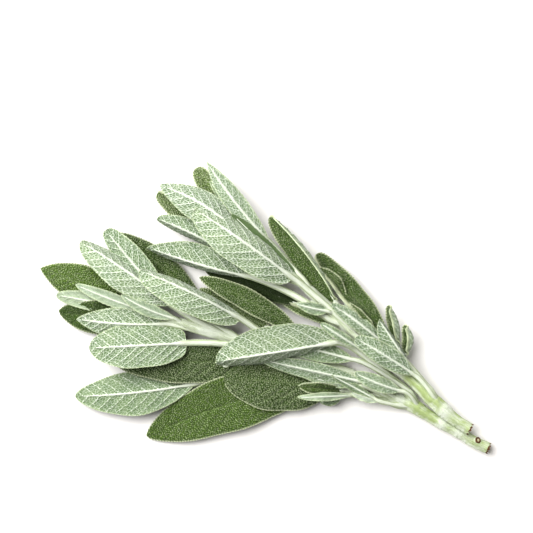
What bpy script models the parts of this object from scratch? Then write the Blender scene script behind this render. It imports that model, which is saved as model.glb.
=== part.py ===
"""Sage bunch: two cut sprigs of common sage lying crossed on a surface.

Run with: blender --background --python part.py
Metres, +Z up, +X towards the cut ends of the stems. The origin is under the middle of the bunch, on the
surface it lies on. Each sprig is one closed solid: its stem, petioles and leaves joined by one Boolean union.
"""

import math
from collections import namedtuple

import bmesh
import bpy
from mathutils import Vector

# ---------------------------------------------------------------- driving dimensions
MM = 0.001                      # every length below is in millimetres
CENTRE = Vector((11.15, -18.12, 0.0))   # middle of the bunch's box, which becomes the origin
BLADE_THICKNESS = 0.7           # leaf blade with its felt
BLADE_STEP = 5.5                # length of blade to one row of its grid
NARROW_LEAF = 7.0               # a leaf up to this wide gets a grid two cells across, a wider one four
STEM_POINTS = 24                # points along a stem
STEM_SIDES = 2                  # bevel resolution of a stem, 8 sides
PETIOLE_POINTS = 7              # points along a petiole
PETIOLE_SIDES = 1               # bevel resolution of a petiole, 6 sides
PETIOLE_BASE = 0.75             # petiole radius at the blade is this and a share of the leaf's width
PETIOLE_SHARE = 0.032
PETIOLE_FLARE = 1.25            # how much wider a petiole is where it leaves the stem
PETIOLE_END = 0.6               # and how much narrower at its end under the midrib
PETIOLE_SUNK = 0.16             # share of the blade that the petiole runs on under the midrib
LEAVES_STEM = 0.4               # share of a petiole's length over which it keeps the stem's heading
MEETS_BLADE = 0.2               # and over which it takes up the midrib's
LEANS_AFTER = 8.0               # length over which a petiole takes up its lean
FALL_START = 0.7                # a half falls by this share of its angle at the midrib
FALL_GROWTH = 0.6               # and by this share more from there to its margin
FLAT = 0.01                     # radians: a half that falls less than this is taken as flat
FOLDS_OVER = 100.0              # degrees: a half that turns further than this is creased and lies folded
CREASE_WIDTH = 0.35             # share of the half width that a crease takes up
UNFOLDS = 2.6                   # a half blade narrower than this is less and less folded
RIPPLE = 0.35                   # height of the slow waves along a margin
RIPPLE_TURNS = 17.0             # radians of those waves from a blade's base to its tip
RIPPLE_APART = 2.0              # radians by which the two margins' waves differ
LOBE = 0.02                     # share of the half width by which the margin waves in and out
STUB_RADIUS = 1.2               # cut side shoot near the foot of the lower stem
STUB_LENGTH = 3.4
STUB_PLACE = 7.0                # how far along the stem it grows
STUB_WAY = Vector((0.35, 0.5, 0.8))
CUTTER = (0.4, 0.3, 0.02)       # metres: block under the surface, which the lowest spots are cut flat by
TUBE_WELD = 0.01                # points closer than this are welded in a tube
BLADE_WELD = 0.02               # and in a blade
CRISP_ANGLE = 45.0              # edges sharper than this, in degrees, stay sharp

# A stem: points (x, y, z) of its axis from the cut end to the shoot tip, and its radius at each of them.
Stem = namedtuple("Stem", "points radii")

STEMS = {
    "sprig_lower": Stem(
        [(109.0, 1.0, 2.8), (102.0, 0.0, 2.75), (95.0, 0.0, 2.7), (88.0, -0.5, 2.7), (81.0, -1.0, 2.5),
         (74.5, -1.0, 2.3), (67.5, -2.0, 2.5), (58.0, -3.0, 3.0), (42.0, -4.5, 3.3), (26.5, -10.0, 4.5),
         (13.5, -13.5, 6.0), (-3.5, -17.5, 8.0), (-18.0, -21.5, 9.5), (-30.5, -24.5, 10.5),
         (-39.5, -25.5, 11.0)],
        [2.25, 2.25, 2.25, 2.4, 2.35, 2.75, 2.3, 2.2, 2.2, 2.5, 2.0, 2.0, 2.0, 1.4, 0.8],
    ),
    "sprig_upper": Stem(
        [(98.0, 3.5, 6.6), (90.5, 3.5, 6.2), (83.0, 4.5, 5.9), (76.5, 5.8, 5.6), (66.5, 7.6, 5.3),
         (55.0, 8.7, 5.4), (46.5, 9.5, 5.9), (35.0, 11.0, 6.8), (22.5, 14.0, 8.0), (10.5, 16.0, 9.5),
         (-0.5, 17.0, 10.5), (-12.0, 17.5, 11.5)],
        [2.35, 2.4, 2.8, 2.8, 2.2, 2.1, 2.2, 2.5, 2.2, 1.8, 1.3, 0.8],
    ),
}

# A leaf. root: how far along the stem its petiole starts. base, tip: the two ends of the blade's midrib.
# bow: how far the midrib swings to its left, seen from above. arch: how far it rises above its chord.
# width: across both halves laid flat. falls: degrees by which the left and right halves fall away from
# the midrib, negative where a half stands up. ends: how blunt the base and the tip are (small is blunt),
# and under 1 where the blade is widest nearer its base. aside: how far the petiole leans towards +Y and
# upwards as it leaves the stem. crease: the share of the half width at which a folded half is creased.
Leaf = namedtuple("Leaf", "root base tip bow arch width falls ends aside crease", defaults=((0.0, 0.0), 0.25))

LEAVES = {
    "sprig_lower": {
        "A1": Leaf(137, (-49.5, -29.5, 5.5), (-87.0, -36.5, 1.5), -0.5, 0.7, 15.5, (10, 0), (0.7, 0.8, 1.0)),
        "A2": Leaf(116, (-33.0, -19.5, 11), (-78.0, -18.0, 9), -1.0, 4.0, 17.0, (0, 70), (0.7, 0.5, 1.0),
                   aside=(1.0, 0.8)),
        "A3": Leaf(110, (-36.5, -19.5, 10), (-72.0, -8.5, 8), 0.0, 3.0, 12.0, (40, 0), (0.7, 0.36, 1.0),
                   aside=(2.2, 0.5)),
        "A4": Leaf(128, (-24.0, -11.5, 6.0), (-67.0, -6.0, 2.0), 0.0, 1.0, 13.0, (0, 30), (0.6, 0.75, 1.0)),
        "A5": Leaf(72, (-6.5, -9.0, 12), (-51.0, -14.5, 15), -1.0, 5.5, 17.0, (0, 78), (0.35, 0.45, 1.0),
                   aside=(0.0, 1.0)),
        "A6": Leaf(146, (-39.0, -27.0, 10), (-70.5, -34.0, 6), 0.5, 1.0, 5.5, (0, 0), (0.8, 0.5, 1.0)),
        "A7": Leaf(146, (-46.5, -30.0, 6.5), (-75.0, -42.0, 3.5), 0.0, 0.2, 7.5, (15, 0), (0.7, 0.4, 1.0)),
        "A8": Leaf(137, (-37.5, -29.0, 7), (-71.0, -47.5, 0.05), 1.0, 1.3, 15.0, (0, -25), (0.7, 0.6, 1.0)),
        "A9": Leaf(118, (-31.0, -27.5, 10), (-62.5, -45.5, 7), 1.0, 2.5, 13.0, (30, 0), (0.8, 0.8, 1.0),
                   aside=(-1.5, 0.3)),
        "A10": Leaf(102, (-19.5, -29.5, 10), (-51.5, -52.5, 10), 0.0, 3.0, 18.0, (0, 15), (0.25, 0.48, 1.0),
                    aside=(-1.2, 0.3)),
        "A11": Leaf(135, (-29.0, -23.5, 12), (-52.0, -27.0, 13), 1.0, 1.5, 5.5, (0, 20), (0.7, 0.5, 1.0)),
        "B1": Leaf(98, (-7.0, -41.5, 3.5), (-46.0, -73.0, 2), 1.0, 3.2, 18.5, (0, 25), (0.9, 0.62, 1.0)),
        "B2": Leaf(91, (1.0, -25.0, 5), (-39.5, -52.5, 7), 0.0, 2.0, 18.0, (5, -10), (0.3, 0.6, 0.6)),
        "B4": Leaf(68, (30.5, -17.5, 2.6), (-12.5, -71.0, 1.5), -2.0, 2.5, 23.0, (0, -8), (0.35, 0.6, 0.85)),
        "B5": Leaf(52, (40.0, -13.0, 3), (1.0, -33.0, 6), 0.0, 2.5, 24.0, (5, 24), (0.4, 0.5, 1.0)),
        "C1": Leaf(34, (31.0, 3.0, 10), (-5.0, -29.0, 14), 0.0, 4.0, 22.0, (70, 0), (0.35, 0.5, 1.0),
                   aside=(4.6, 0.6)),
        "C3": Leaf(31.5, (41.5, 1.5, 7), (8.5, -9.0, 9), 0.0, 1.0, 9.0, (0, 25), (0.6, 0.5, 1.0),
                   aside=(4.4, 2.0)),
        "C2": Leaf(40, (51.0, -3.5, 7), (10.5, -18.5, 9), 0.0, 1.0, 7.5, (25, 0), (0.8, 0.5, 1.0),
                   aside=(0.5, 2.4)),
        "H6": Leaf(42, (50.5, -5.5, 6), (23.5, -15.0, 8), 1.5, 0.0, 4.0, (0, 0), (0.8, 0.6, 1.0),
                   aside=(-1.6, 0.8)),
        "H1": Leaf(36, (46.0, -11.0, 4), (29.0, -19.5, 9), 0.0, 2.5, 5.5, (0, -30), (0.8, 0.5, 1.0),
                   aside=(-2.8, 0.2)),
        "H2": Leaf(33, (49.5, -11.0, 5), (31.0, -23.5, 10), 0.0, 2.5, 3.5, (0, 0), (0.8, 0.6, 1.0),
                   aside=(-3.6, 0.8)),
        "H3": Leaf(35, (60.5, -7.0, 5), (48.5, -10.0, 6), 0.0, 0.5, 4.0, (0, 0), (0.8, 0.4, 1.0),
                   aside=(-1.2, 2.2)),
        "H4": Leaf(33.5, (58.0, -7.0, 6), (37.5, -8.5, 9), 0.0, -0.5, 3.5, (0, 0), (0.8, 0.6, 1.0),
                   aside=(-2.2, 1.6)),
        "H5": Leaf(38, (46.5, -13.5, 3), (38.0, -19.5, 3), 1.0, 0.5, 5.5, (0, 20), (0.8, 0.5, 1.0)),
        "H7": Leaf(31.5, (65.5, 1.5, 7), (45.5, -2.5, 8), 0.5, 1.5, 6.5, (0, 0), (0.8, 0.45, 1.0),
                   aside=(2.4, 2.6)),
        "F1": Leaf(74, (16.5, -1.0, 7), (-29.5, -4.0, 6), -1.5, 1.5, 9.0, (0, 0), (0.5, 0.6, 1.0)),
        "F2": Leaf(91, (6.5, -6.0, 5), (-27.0, -8.0, 3), 0.0, 1.0, 8.0, (0, -10), (0.7, 0.6, 1.0)),
    },
    "sprig_upper": {
        "D1": Leaf(14.5, (66.5, 10.0, 9), (37.5, 9.5, 13), -0.5, 2.0, 9.0, (0, 0), (0.9, 0.35, 1.0),
                   aside=(1.4, 2.6)),
        "D2": Leaf(14.5, (61.5, 12.5, 9), (42.0, 21.0, 12), 0.0, 2.5, 10.5, (0, 80), (0.8, 0.6, 1.0),
                   aside=(2.8, 1.8)),
        "D3": Leaf(19, (54.0, 16.0, 7), (42.0, 28.0, 10), -2.0, -0.5, 8.0, (0, -165), (0.7, 0.5, 1.0),
                   aside=(3.2, 0.6), crease=0.02),
        "D4": Leaf(18, (58.5, 14.5, 7), (52.0, 25.0, 9), -3.0, 0.0, 8.0, (0, -165), (0.7, 0.5, 1.0),
                   aside=(3.4, 0.8), crease=0.02),
        "D5": Leaf(22, (47.5, 17.5, 7), (6.0, 30.0, 1.5), -0.3, 2.0, 10.0, (-35, 0), (0.5, 0.32, 1.0),
                   aside=(2.6, 0.0)),
        "D6": Leaf(50, (26.0, 20.5, 7), (9.5, 25.5, 10), -1.8, 0.5, 5.0, (-40, 0), (0.7, 0.5, 1.0)),
        "D7": Leaf(36, (23.0, 17.5, 8), (-18.5, 32.5, 8), -1.5, 2.0, 12.0, (10, -130), (0.5, 0.45, 1.0),
                   aside=(3.4, 0.6), crease=0.22),
        "E1": Leaf(84, (-14.0, 24.0, 10), (-52.5, 37.5, 7), 1.0, 3.5, 8.4, (10, 15), (0.7, 0.9, 1.0),
                   aside=(1.6, 0.6)),
        "E2": Leaf(98, (-28.5, 22.0, 6), (-55.0, 33.0, 2), 0.0, 1.0, 9.5, (-25, 0), (0.7, 0.3, 1.0)),
        "E3": Leaf(98, (-27.5, 24.0, 7), (-47.0, 31.5, 5), 0.0, 1.0, 3.5, (0, 40), (0.7, 0.5, 1.0)),
        "E4": Leaf(88, (-20.5, 18.5, 12), (-63.0, 19.0, 9.5), -3.0, 3.8, 15.5, (0, 45), (0.7, 0.75, 1.0),
                   aside=(0.6, 1.2)),
        "E5": Leaf(58, (2.5, 16.5, 13), (-45.5, 18.5, 15), -0.5, 5.0, 19.5, (0, 55), (0.35, 0.42, 1.0),
                   aside=(1.6, 1.6)),
        "E6": Leaf(79, (6.0, 17.5, 10), (-32.0, 25.0, 12), 0.0, 1.0, 5.0, (35, 0), (0.7, 0.5, 1.0)),
        "E7": Leaf(103, (-32.5, 12.5, 5), (-63.0, 16.0, 0.05), 0.0, 0.7, 9.0, (0, -45), (0.7, 0.3, 1.0)),
        "E8": Leaf(90, (-26.5, 11.0, 10), (-57.0, 7.0, 7.5), -0.5, 2.2, 10.5, (70, 0), (0.7, 0.5, 1.0),
                   aside=(-1.6, 0.6)),
        "E9": Leaf(66, (-12.0, 7.5, 9), (-54.0, -5.0, 8.5), 1.0, 0.8, 16.5, (80, 0), (0.7, 0.85, 1.0),
                   aside=(-3.0, 0.6)),
        "E10": Leaf(79, (11.5, 9.0, 5), (-29.0, -0.5, 2), 0.0, 0.5, 7.5, (0, -25), (0.7, 0.6, 1.0)),
        "F3": Leaf(64, (28.0, 9.5, 6), (4.0, 5.5, 4), 0.0, 0.0, 4.0, (0, -35), (0.7, 0.5, 1.0)),
        "G1": Leaf(40, (42.0, 7.0, 9), (22.5, 7.0, 11), 0.0, 2.0, 4.0, (0, 0), (0.8, 0.35, 1.0),
                   aside=(-0.2, 2.4)),
        "G3": Leaf(34, (49.5, 14.0, 9), (22.0, 16.0, 11), -0.5, 1.0, 6.5, (0, 30), (0.8, 0.45, 1.0),
                   aside=(1.6, 1.6)),
        "G5": Leaf(40, (44.5, 16.0, 8), (28.0, 20.5, 11), -0.5, 0.5, 2.5, (0, 0), (0.7, 0.5, 1.0)),
        "G2": Leaf(72, (21.9, 12.7, 11), (9.0, 8.2, 12.5), 0.3, 0.8, 5.0, (0, 0), (0.8, 0.9, 0.7),
                   aside=(-0.8, 2.2)),
    },
}

# Surface of each sprig: base colour (linear), roughness.
FINISHES = {
    "sprig_lower": ((0.33, 0.43, 0.26, 1.0), 0.85),
    "sprig_upper": ((0.36, 0.46, 0.29, 1.0), 0.85),
}


# ---------------------------------------------------------------- scene helpers
def clear_scene():
    for obj in list(bpy.data.objects):
        bpy.data.objects.remove(obj, do_unlink=True)


def new_collection(name):
    collection = bpy.data.collections.new(name)
    bpy.context.scene.collection.children.link(collection)
    return collection


def add_object(name, mesh, collection):
    obj = bpy.data.objects.new(name, mesh)
    collection.objects.link(obj)
    return obj


def material(name, colour, roughness):
    mat = bpy.data.materials.new(name)
    mat.use_nodes = True
    shader = mat.node_tree.nodes["Principled BSDF"]
    shader.inputs["Base Color"].default_value = colour
    shader.inputs["Roughness"].default_value = roughness
    shader.inputs["Metallic"].default_value = 0.0
    mat.diffuse_color = colour
    return mat


def applied(obj, weld=0.0):
    """The object's mesh with its modifiers and its curve bevel made real, in a new mesh object."""
    graph = bpy.context.evaluated_depsgraph_get()
    mesh = bpy.data.meshes.new_from_object(obj.evaluated_get(graph))
    if weld:
        bm = bmesh.new()
        bm.from_mesh(mesh)
        bmesh.ops.remove_doubles(bm, verts=bm.verts, dist=weld)
        bm.to_mesh(mesh)
        bm.free()
    name = obj.name
    matrix = obj.matrix_world.copy()
    collection = obj.users_collection[0]
    bpy.data.objects.remove(obj, do_unlink=True)
    made = add_object(name, mesh, collection)
    made.matrix_world = matrix
    return made


# ---------------------------------------------------------------- lines that stems and petioles follow
def spline_at(values, t):
    """Catmull-Rom value at t, from 0 at the first of the values to 1 at the last."""
    place = min(max(t, 0.0), 1.0) * (len(values) - 1)
    i = min(int(place), len(values) - 2)
    f = place - i
    p1, p2 = values[i], values[i + 1]
    p0 = values[i - 1] if i > 0 else p1 * 2 - p2
    p3 = values[i + 2] if i + 2 < len(values) else p2 * 2 - p1
    return 0.5 * (p1 * 2 + (p2 - p0) * f + (p0 * 2 - p1 * 5 + p2 * 4 - p3) * f**2
                  + (p1 * 3 - p0 - p2 * 3 + p3) * f**3)


def stem_share(stem, distance):
    """Where along the stem, from 0 to 1, its line has run this far from the cut end."""
    points = [Vector(p) for p in stem.points]
    run = 0.0
    for i in range(len(points) - 1):
        step = (points[i + 1] - points[i]).length
        if run + step >= distance:
            return (i + (distance - run) / step) / (len(points) - 1)
        run += step
    return 1.0


def stem_point(stem, t):
    return spline_at([Vector(p) for p in stem.points], t)


def stem_heading(stem, t):
    step = 0.01
    return (stem_point(stem, min(t + step, 1.0)) - stem_point(stem, max(t - step, 0.0))).normalized()


def tube(name, points, radii, sides, collection):
    """A closed tube along the points, in millimetres, with a radius at each."""
    curve = bpy.data.curves.new(name, "CURVE")
    curve.dimensions = "3D"
    curve.bevel_depth = MM
    curve.bevel_resolution = sides
    curve.use_fill_caps = True
    spline = curve.splines.new("POLY")
    spline.points.add(len(points) - 1)
    for spot, point, radius in zip(spline.points, points, radii):
        spot.co = (*((point - CENTRE) * MM), 1.0)
        spot.radius = radius
    return applied(add_object(name, curve, collection), weld=TUBE_WELD * MM)


# ---------------------------------------------------------------- leaves
def smooth(high, value):
    """Eases from 0 at 0 to 1 at high."""
    share = min(value / high, 1.0)
    return share * share * (3 - 2 * share)


def folded_section(share, angle, crease):
    """The same for a half that is creased and lies folded over."""
    bend = min(max(share - crease, 0.0) / CREASE_WIDTH, 1.0) * angle
    tight = CREASE_WIDTH / angle
    beyond = max(share - crease - CREASE_WIDTH, 0.0)
    out = min(share, crease) + tight * math.sin(bend) + beyond * math.cos(angle)
    return out, tight * (1 - math.cos(bend)) + beyond * math.sin(angle)


def half_section(share, fall, crease):
    """How far out and down a half blade reaches at this share of its width, its slope growing outwards."""
    if abs(fall) > FOLDS_OVER:
        return folded_section(share, math.radians(fall), crease)
    start, growth = math.radians(fall) * FALL_START, math.radians(fall) * FALL_GROWTH
    if abs(growth) < FLAT:
        return share, 0.0
    end = start + growth * share
    return (math.sin(end) - math.sin(start)) / growth, (math.cos(start) - math.cos(end)) / growth


def leaf_axes(leaf):
    base, tip = Vector(leaf.base), Vector(leaf.tip)
    along = (tip - base).to_2d().normalized()
    return base, tip, Vector((-along.y, along.x, 0.0))


def midrib(leaf, u):
    base, tip, left = leaf_axes(leaf)
    swell = 4 * u * (1 - u)
    return base.lerp(tip, u) + left * leaf.bow * swell + Vector((0, 0, leaf.arch * swell))


def half_width(leaf, u):
    blunt_base, blunt_tip, skew = leaf.ends
    bluntness = blunt_base + (blunt_tip - blunt_base) * u
    return leaf.width / 2 * max(math.sin(math.pi * u**skew), 0.0) ** bluntness


def blade_point(leaf, u, v):
    """The blade at u from base to tip and v from -1, its right margin, to 1, its left."""
    left = leaf_axes(leaf)[2]
    half = half_width(leaf, u)
    wave = math.sin(leaf.root + RIPPLE_TURNS * u + (RIPPLE_APART if v > 0 else 0))
    way = 1 if v > 0 else -1
    crease = 1 - (1 - leaf.crease) * smooth(UNFOLDS, half)
    out, down = half_section(abs(v), leaf.falls[0] if v > 0 else leaf.falls[1], crease)
    out *= half * (1 + LOBE * wave)
    lift = RIPPLE * wave * v * v * half / (leaf.width / 2) - down * half
    return midrib(leaf, u) + left * out * way + Vector((0, 0, lift))


def blade(name, leaf, collection):
    """A leaf blade: a grid shaped by its outline, falls and arch, then given its thickness."""
    length = (Vector(leaf.tip) - Vector(leaf.base)).length
    bm = bmesh.new()
    across = 4 if leaf.width > NARROW_LEAF else 2
    bmesh.ops.create_grid(bm, x_segments=max(4, round(length / BLADE_STEP)), y_segments=across, size=1.0)
    for vert in bm.verts:
        u, v = (vert.co.x + 1) / 2, vert.co.y
        vert.co = (blade_point(leaf, 0.5 - 0.5 * math.cos(math.pi * u), v) - CENTRE) * MM
    bmesh.ops.remove_doubles(bm, verts=bm.verts, dist=BLADE_WELD * MM)
    bmesh.ops.triangulate(bm, faces=bm.faces)
    bmesh.ops.recalc_face_normals(bm, faces=bm.faces)
    mesh = bpy.data.meshes.new(name)
    bm.to_mesh(mesh)
    bm.free()
    obj = add_object(name, mesh, collection)
    wall = obj.modifiers.new("Thickness", "SOLIDIFY")
    wall.thickness = BLADE_THICKNESS * MM
    wall.offset = 0.0
    return applied(obj)


def petiole(name, leaf, stem, collection):
    """A leaf stalk, from the middle of the stem along a smooth bend and on under the midrib."""
    t = stem_share(stem, leaf.root)
    root, end = stem_point(stem, t), midrib(leaf, 0.0)
    reach = (end - root).length
    out = stem_heading(stem, t) * reach * LEAVES_STEM
    into = (midrib(leaf, 0.05) - end).normalized() * reach * MEETS_BLADE
    thin = PETIOLE_BASE + PETIOLE_SHARE * leaf.width
    points, radii = [], []
    for i in range(PETIOLE_POINTS):
        f = i / (PETIOLE_POINTS - 1)
        lean = smooth(LEANS_AFTER, f * reach) * (1 - f)
        points.append(root * (1 - f)**3 + (root + out) * 3 * f * (1 - f)**2
                      + (end - into) * 3 * f**2 * (1 - f) + end * f**3 + Vector((0, *leaf.aside)) * lean)
        radii.append(thin * (PETIOLE_FLARE + (1 - PETIOLE_FLARE) * f))
    points.append(midrib(leaf, PETIOLE_SUNK))
    radii.append(thin * PETIOLE_END)
    return tube(name, points, radii, PETIOLE_SIDES, collection)


# ---------------------------------------------------------------- sprigs
def stem_tube(name, stem, collection):
    shares = [i / (STEM_POINTS - 1) for i in range(STEM_POINTS)]
    return tube(name, [stem_point(stem, t) for t in shares], [spline_at(stem.radii, t) for t in shares],
                STEM_SIDES, collection)


def side_stub(stem, collection):
    """The short cut side shoot near the foot of the lower stem."""
    foot = stem_point(stem, stem_share(stem, STUB_PLACE))
    end = foot + STUB_WAY.normalized() * STUB_LENGTH
    return tube("stub", [foot, end], [STUB_RADIUS] * 2, PETIOLE_SIDES, collection)


def largest_shell(obj):
    """Drops the loose scraps and sealed hollows that the union leaves."""
    bm = bmesh.new()
    bm.from_mesh(obj.data)
    left = set(bm.faces)
    shells = []
    while left:
        edge_of_shell = [left.pop()]
        shell = list(edge_of_shell)
        while edge_of_shell:
            face = edge_of_shell.pop()
            for edge in face.edges:
                for other in edge.link_faces:
                    if other in left:
                        left.remove(other)
                        shell.append(other)
                        edge_of_shell.append(other)
        shells.append(shell)
    shells.sort(key=len)
    scraps = [face for shell in shells[:-1] for face in shell]
    bmesh.ops.delete(bm, geom=scraps, context="FACES")
    bm.to_mesh(obj.data)
    bm.free()


def table_cutter(collection):
    """A block under the surface: it gives the lower stem and two leaf tips the flats they lie on."""
    bm = bmesh.new()
    bmesh.ops.create_cube(bm, size=1.0)
    bmesh.ops.scale(bm, verts=bm.verts, vec=CUTTER)
    bmesh.ops.translate(bm, verts=bm.verts, vec=(0, 0, -CUTTER[2] / 2))
    mesh = bpy.data.meshes.new("table_cutter")
    bm.to_mesh(mesh)
    bm.free()
    cutter = add_object("table_cutter", mesh, collection)
    cutter.hide_render = True
    cutter.display_type = "WIRE"
    return cutter


def sprig(name, parts, cutter):
    """One leafy stem, its blades and petioles joined to it by one union."""
    stem = STEMS[name]
    body = stem_tube(name, stem, parts)
    pieces = new_collection(name + "_pieces")
    for key, leaf in LEAVES[name].items():
        blade("blade_" + key, leaf, pieces)
        petiole("petiole_" + key, leaf, stem, pieces)
    if name == "sprig_lower":
        side_stub(stem, pieces)
    join = body.modifiers.new("Join", "BOOLEAN")
    join.operation = "UNION"
    join.operand_type = "COLLECTION"
    join.collection = pieces
    join.solver = "EXACT"
    join.use_self = True
    body = applied(body)
    for piece in list(pieces.objects):
        bpy.data.objects.remove(piece, do_unlink=True)
    bpy.data.collections.remove(pieces)
    largest_shell(body)
    flat = body.modifiers.new("Flat", "BOOLEAN")
    flat.operation = "DIFFERENCE"
    flat.object = cutter
    flat.solver = "EXACT"
    body = applied(body)
    largest_shell(body)
    colour, roughness = FINISHES[name]
    body.data.materials.clear()
    body.data.materials.append(material(name, colour, roughness))
    body.data.shade_smooth()
    body.data.set_sharp_from_angle(angle=math.radians(CRISP_ANGLE))


def main():
    clear_scene()
    parts = new_collection("sage_bunch")
    cutters = new_collection("cutters")
    cutters.hide_render = True
    cutter = table_cutter(cutters)
    for name in STEMS:
        sprig(name, parts, cutter)


main()
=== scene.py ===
import math
from collections import namedtuple

import bmesh
import bpy
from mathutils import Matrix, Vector, noise


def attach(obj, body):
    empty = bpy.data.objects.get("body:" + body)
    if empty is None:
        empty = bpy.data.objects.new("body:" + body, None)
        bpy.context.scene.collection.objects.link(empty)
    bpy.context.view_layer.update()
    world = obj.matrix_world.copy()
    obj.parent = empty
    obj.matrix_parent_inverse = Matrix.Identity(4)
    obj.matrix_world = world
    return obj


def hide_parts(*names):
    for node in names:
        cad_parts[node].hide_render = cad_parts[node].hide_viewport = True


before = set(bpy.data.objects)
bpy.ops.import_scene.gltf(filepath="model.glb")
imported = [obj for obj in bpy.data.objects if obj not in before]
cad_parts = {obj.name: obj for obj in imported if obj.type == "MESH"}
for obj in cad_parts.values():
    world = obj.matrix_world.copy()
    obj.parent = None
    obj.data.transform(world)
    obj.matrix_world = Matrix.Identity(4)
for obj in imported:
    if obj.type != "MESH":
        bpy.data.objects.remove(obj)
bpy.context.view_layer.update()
millimetre = 0.001                        # lengths below are in millimetres
weld = {"blade": 0.00001, "tube": 0.000002}   # metres: points closer than this are made one
bunchCentre = Vector((11.15, -18.12, 0.0))   # middle of the bunch's box, which is the frame's origin
print("frame loaded")


# ---- studio: floor, lights, camera
studio = {
    "floorSize": 4.0,                     # metres
    "floorColour": (0.81, 0.79, 0.77, 1),
    "aim": Vector((-19.8, 32.75, 8.0)),    # what the camera looks down on
    "turn": 32.7,                         # degrees between the picture's right and +X
    "height": 860,
    "field": 218.5,                       # width that the picture takes in
    "skyStrength": 0.3,
    "keyPower": 27.0,
    "keySize": 1.1,                       # metres
    "keyFrom": Vector((-0.62, 0.5, 1.0)),    # picture's right, picture's up, height
    "keyDistance": 1.1,
}


def setStage():
    bm = bmesh.new()
    bmesh.ops.create_grid(bm, x_segments=1, y_segments=1, size=studio["floorSize"] / 2)
    mesh = bpy.data.meshes.new("studioFloor")
    bm.to_mesh(mesh)
    bm.free()
    floor = bpy.data.objects.new("studioFloor", mesh)
    bpy.context.scene.collection.objects.link(floor)
    paper = bpy.data.materials.new("studioPaper")
    paper.use_nodes = True
    shader = paper.node_tree.nodes["Principled BSDF"]
    shader.inputs["Base Color"].default_value = studio["floorColour"]
    shader.inputs["Roughness"].default_value = 0.9
    shader.inputs["Specular IOR Level"].default_value = 0.1
    mesh.materials.append(paper)


def setLights():
    world = bpy.data.worlds.new("studioSky")
    world.use_nodes = True
    sky = world.node_tree.nodes["Background"]
    sky.inputs["Color"].default_value = (1, 1, 1, 1)
    sky.inputs["Strength"].default_value = studio["skyStrength"]
    bpy.context.scene.world = world
    turn = math.radians(studio["turn"])
    right = Vector((math.cos(turn), math.sin(turn), 0))
    up = Vector((-math.sin(turn), math.cos(turn), 0))
    side, ahead, height = studio["keyFrom"]
    way = (right * side + up * ahead + Vector((0, 0, height))).normalized()
    lamp = bpy.data.lights.new("keyLight", "AREA")
    lamp.shape = "SQUARE"
    lamp.size = studio["keySize"]
    lamp.energy = studio["keyPower"]
    key = bpy.data.objects.new("keyLight", lamp)
    key.location = studio["aim"] * millimetre + way * studio["keyDistance"]
    key.rotation_euler = way.to_track_quat("Z", "Y").to_euler()
    bpy.context.scene.collection.objects.link(key)


def setCamera():
    lens = bpy.data.cameras.new("camera")
    lens.sensor_width = 36.0
    lens.lens = lens.sensor_width * (studio["height"] - studio["aim"].z) / studio["field"]
    camera = bpy.data.objects.new("camera", lens)
    camera.location = (studio["aim"] + Vector((0, 0, studio["height"] - studio["aim"].z))) * millimetre
    camera.rotation_euler = (0, 0, math.radians(studio["turn"]))
    bpy.context.scene.collection.objects.link(camera)
    bpy.context.scene.camera = camera
    bpy.context.scene.view_settings.view_transform = "Standard"
    bpy.context.scene.view_settings.look = "Medium High Contrast"


setStage()
setLights()
setCamera()
print("studio set")


# ---- shader helpers
skin = {
    "gloss": 0.25,
    "nap": 0.45,                          # how rough the sheen of the hairs is
    "relief": 0.0004,                     # metres: height of the bumps
    "hairs": 2600.0,                      # hairs to a metre
}


class Socket:
    # a socket that takes part in sums: each operator adds a Math node
    def __init__(self, finish, output):
        self.finish = finish
        self.output = output

    def __add__(self, other):
        return self.finish.math("ADD", self, other)

    def __sub__(self, other):
        return self.finish.math("SUBTRACT", self, other)

    def __rsub__(self, other):
        return self.finish.math("SUBTRACT", other, self)

    def __mul__(self, other):
        return self.finish.math("MULTIPLY", self, other)

    __radd__ = __add__
    __rmul__ = __mul__


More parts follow.
